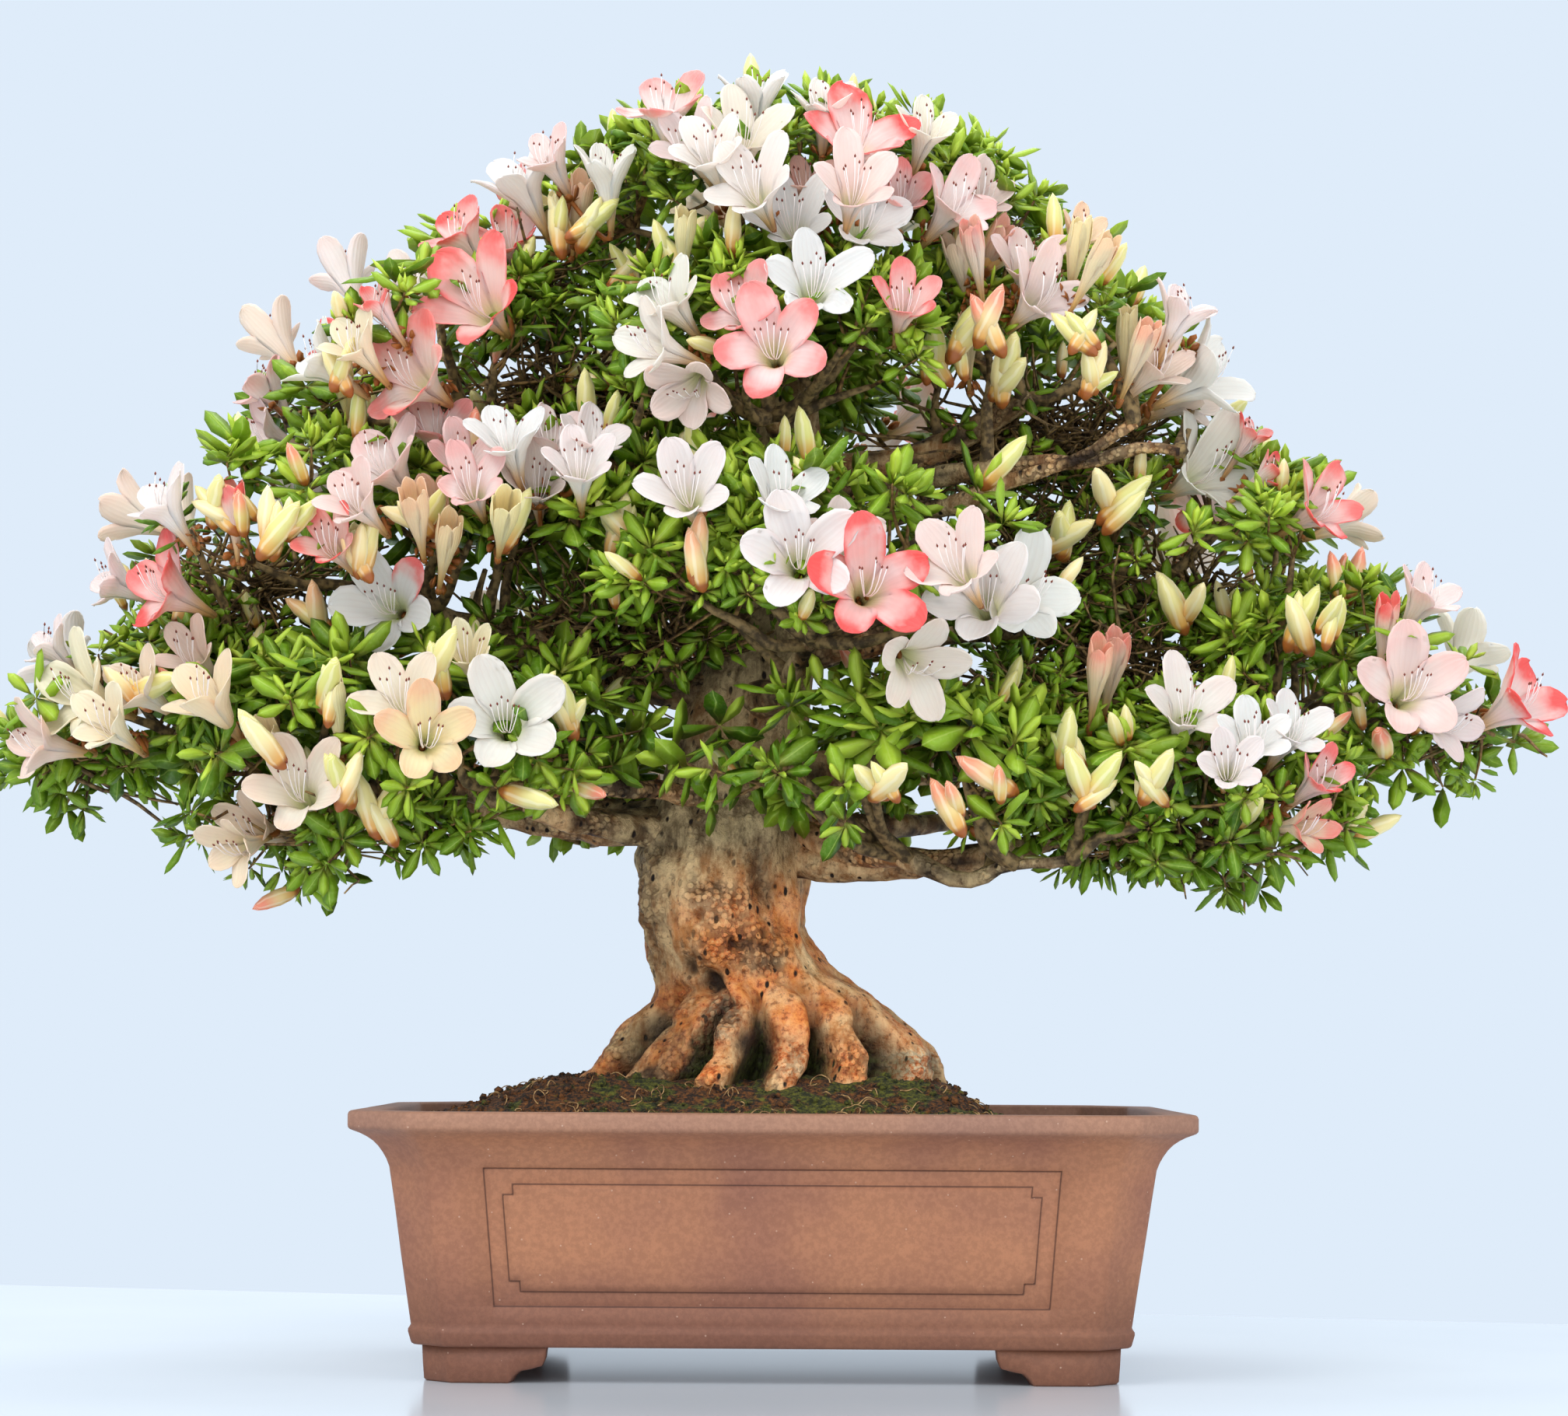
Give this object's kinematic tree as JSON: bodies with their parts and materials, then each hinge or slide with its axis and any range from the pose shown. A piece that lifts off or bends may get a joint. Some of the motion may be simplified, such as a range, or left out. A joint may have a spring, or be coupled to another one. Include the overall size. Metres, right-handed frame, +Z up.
{
  "type": "flowering azalea bonsai in a pot",
  "caption": "Satsuki azalea bonsai in flower: stout trunk with spreading surface roots and tiered leafy pads set with funnel blooms, in a rectangular clay pot on bracket feet.",
  "frame": {"origin": "on the surface that the pot stands on, under the middle of the whole tree", "axes": "+X along the pot's long side, to the right seen from the front; the front faces -Y; +Z up"},
  "size_m": [0.878, 0.4274, 0.7325],
  "materials": {
    "clay": "matte",
    "earth": "matte",
    "bark": "matte",
    "leaf": "satin",
    "petal_white": "satin",
    "petal_pink": "satin"
  },
  "bodies": {
    "root": {"bloom_pink_1": "petal_pink", "bloom_pink_11": "petal_pink", "bloom_pink_12": "petal_pink", "bloom_pink_19": "petal_pink", "bloom_pink_24": "petal_pink", "bloom_pink_28": "petal_pink", "bloom_pink_29": "petal_pink", "bloom_pink_3": "petal_pink", "bloom_pink_39": "petal_pink", "bloom_pink_41": "petal_pink", "bloom_pink_42": "petal_pink", "bloom_pink_45": "petal_pink", "bloom_pink_5": "petal_pink", "bloom_pink_6": "petal_pink", "bloom_pink_7": "petal_pink", "bloom_white_10": "petal_white", "bloom_white_13": "petal_white", "bloom_white_14": "petal_white", "bloom_white_15": "petal_white", "bloom_white_16": "petal_white", "bloom_white_17": "petal_white", "bloom_white_18": "petal_white", "bloom_white_2": "petal_white", "bloom_white_20": "petal_white", "bloom_white_21": "petal_white", "bloom_white_22": "petal_white", "bloom_white_23": "petal_white", "bloom_white_25": "petal_white", "bloom_white_26": "petal_white", "bloom_white_27": "petal_white", "bloom_white_30": "petal_white", "bloom_white_31": "petal_white", "bloom_white_32": "petal_white", "bloom_white_33": "petal_white", "bloom_white_34": "petal_white", "bloom_white_35": "petal_white", "bloom_white_36": "petal_white", "bloom_white_37": "petal_white", "bloom_white_38": "petal_white", "bloom_white_4": "petal_white", "bloom_white_40": "petal_white", "bloom_white_43": "petal_white", "bloom_white_44": "petal_white", "bloom_white_8": "petal_white", "bloom_white_9": "petal_white", "foliage_back_low": "leaf", "foliage_back_upper": "leaf", "foliage_crown": "leaf", "foliage_crown_front": "leaf", "foliage_crown_left": "leaf", "foliage_crown_right": "leaf", "foliage_far_right": "leaf", "foliage_low_left": "leaf", "foliage_low_right": "leaf", "foliage_middle_front": "leaf", "foliage_middle_left": "leaf", "foliage_middle_right": "leaf", "pot": "clay", "soil": "earth", "wood": "bark"}
  },
  "joints": []
}
